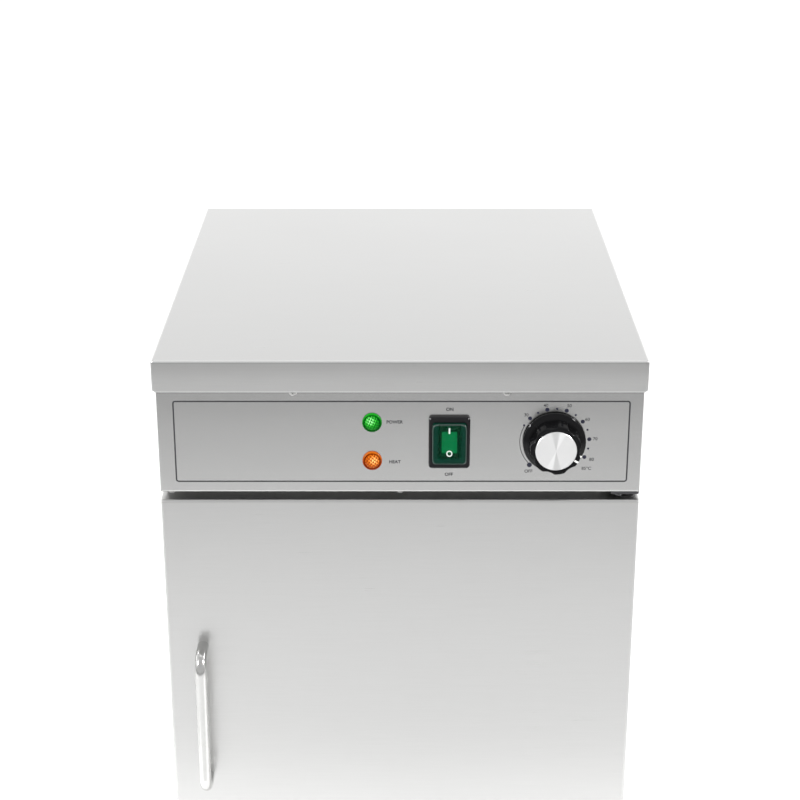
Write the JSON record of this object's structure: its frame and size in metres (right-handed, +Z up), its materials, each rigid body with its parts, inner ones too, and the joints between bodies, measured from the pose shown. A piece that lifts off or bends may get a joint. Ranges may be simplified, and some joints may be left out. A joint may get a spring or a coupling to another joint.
{
  "type": "plate warmer cabinet",
  "caption": "Insulated counter cabinet in satin steel with a front door, thermostat dial, lit switch, indicator lamps, wire shelves and levelling feet.",
  "frame": {"origin": "middle of the cabinet on the surface it stands on", "axes": "+X to the right seen from the front, -Y towards the user at the door, +Z up"},
  "size_m": [0.405, 0.518, 0.57],
  "materials": {
    "lid_steel": "satin sheet",
    "fascia_steel": "satin sheet",
    "casing_steel": "satin sheet",
    "back_steel": "satin sheet",
    "base_steel": "zinc coated sheet",
    "inner_steel": "zinc coated sheet",
    "lining_steel": "mill finish sheet",
    "guard_steel": "perforated sheet",
    "rail_steel": "folded sheet",
    "mineral_wool": "pressed mineral wool",
    "element_sheath": "heat darkened tube",
    "strap_steel": "pressed strip",
    "shelf_chrome": "plated wire",
    "lens_green": "faceted lens",
    "lens_orange": "faceted lens",
    "lamp_nylon": "moulded",
    "switch_nylon": "moulded",
    "rocker_green": "lit rocker",
    "splash_clear": "soft clear cover",
    "tab_brass": "blade terminals",
    "thermostat_plastic": "moulded",
    "shaft_steel": "turned",
    "capillary_copper": "drawn copper",
    "clip_steel": "spring strip",
    "knob_black": "glossy moulding",
    "knob_disc": "spun face",
    "terminal_nylon": "moulded",
    "gland_nylon": "moulded",
    "seal_rubber": "moulded",
    "gasket_rubber": "extruded silicone",
    "door_steel": "satin sheet",
    "door_inner_steel": "satin sheet",
    "handle_steel": "polished bar",
    "screw_steel": "stainless",
    "bush_nylon": "moulded",
    "striker_steel": "zinc plated",
    "bracket_steel": "zinc plated",
    "pin_steel": "ground",
    "catch_plastic": "moulded with a magnet",
    "socket_nylon": "moulded",
    "foot_plastic": "moulded"
  },
  "bodies": {
    "cabinet": {"top_cover": "lid_steel", "control_fascia": "fascia_steel", "left_side_panel": "casing_steel", "right_side_panel": "casing_steel", "back_panel": "back_steel", "base_panel": "base_steel", "control_bay_floor": "inner_steel", "front_cross_rail": "inner_steel", "cavity_ceiling": "lining_steel", "cavity_floor": "lining_steel", "cavity_left_wall": "lining_steel", "cavity_right_wall": "lining_steel", "cavity_back_wall": "lining_steel", "element_guard": "guard_steel", "shelf_rails": "rail_steel", "side_insulation": "mineral_wool", "top_insulation": "mineral_wool", "back_insulation": "mineral_wool", "heating_element": "element_sheath", "element_straps": "strap_steel", "lower_shelf": "shelf_chrome", "upper_shelf": "shelf_chrome", "green_lamp_lens": "lens_green", "orange_lamp_lens": "lens_orange", "lamp_bodies": "lamp_nylon", "switch_housing": "switch_nylon", "switch_cover": "splash_clear", "switch_tabs": "tab_brass", "thermostat_body": "thermostat_plastic", "capillary_bulb": "capillary_copper", "bulb_clips": "clip_steel", "terminal_block": "terminal_nylon", "gland_body": "gland_nylon", "gland_lock_nut": "gland_nylon", "gland_dome_nut": "gland_nylon", "gland_seal": "seal_rubber", "cabinet_screws": "screw_steel", "top_hinge_bracket": "bracket_steel", "bottom_hinge_bracket": "bracket_steel", "hinge_pins": "pin_steel", "magnet_catch": "catch_plastic", "foot_sockets": "socket_nylon"},
    "door": {"door_outer_skin": "door_steel", "door_inner_panel": "door_inner_steel", "door_insulation": "mineral_wool", "door_gasket": "gasket_rubber", "door_handle": "handle_steel", "handle_screws": "screw_steel", "hinge_bushes": "bush_nylon", "catch_striker": "striker_steel"},
    "knob": {"knob_body": "knob_black", "knob_cap": "knob_disc", "thermostat_shaft": "shaft_steel"},
    "rocker": {"switch_rocker": "rocker_green"},
    "front_left_foot": {"front_left_foot": "foot_plastic"},
    "front_right_foot": {"front_right_foot": "foot_plastic"},
    "rear_left_foot": {"rear_left_foot": "foot_plastic"},
    "rear_right_foot": {"rear_right_foot": "foot_plastic"}
  },
  "joints": [
    {"name": "door_hinge", "type": "hinge", "parent": "cabinet", "child": "door", "pos_m": [0.19, -0.2175, 0.2415], "axis": [0, 0, 1], "range_deg": [0, 180]},
    {"name": "thermostat_turn", "type": "hinge", "parent": "cabinet", "child": "knob", "pos_m": [0.1273, -0.23, 0.498], "axis": [0, 1, 0], "range_deg": [-250.8, 15.2]},
    {"name": "switch_rock", "type": "hinge", "parent": "cabinet", "child": "rocker", "pos_m": [0.0407, -0.226, 0.498], "axis": [1, 0, 0], "range_deg": [0, 18]},
    {"name": "front_left_foot_screw", "type": "slide", "parent": "cabinet", "child": "front_left_foot", "axis": [0, 0, -1], "range_m": [0, 0.015]},
    {"name": "front_right_foot_screw", "type": "slide", "parent": "cabinet", "child": "front_right_foot", "axis": [0, 0, -1], "range_m": [0, 0.015]},
    {"name": "rear_left_foot_screw", "type": "slide", "parent": "cabinet", "child": "rear_left_foot", "axis": [0, 0, -1], "range_m": [0, 0.015]},
    {"name": "rear_right_foot_screw", "type": "slide", "parent": "cabinet", "child": "rear_right_foot", "axis": [0, 0, -1], "range_m": [0, 0.015]}
  ]
}
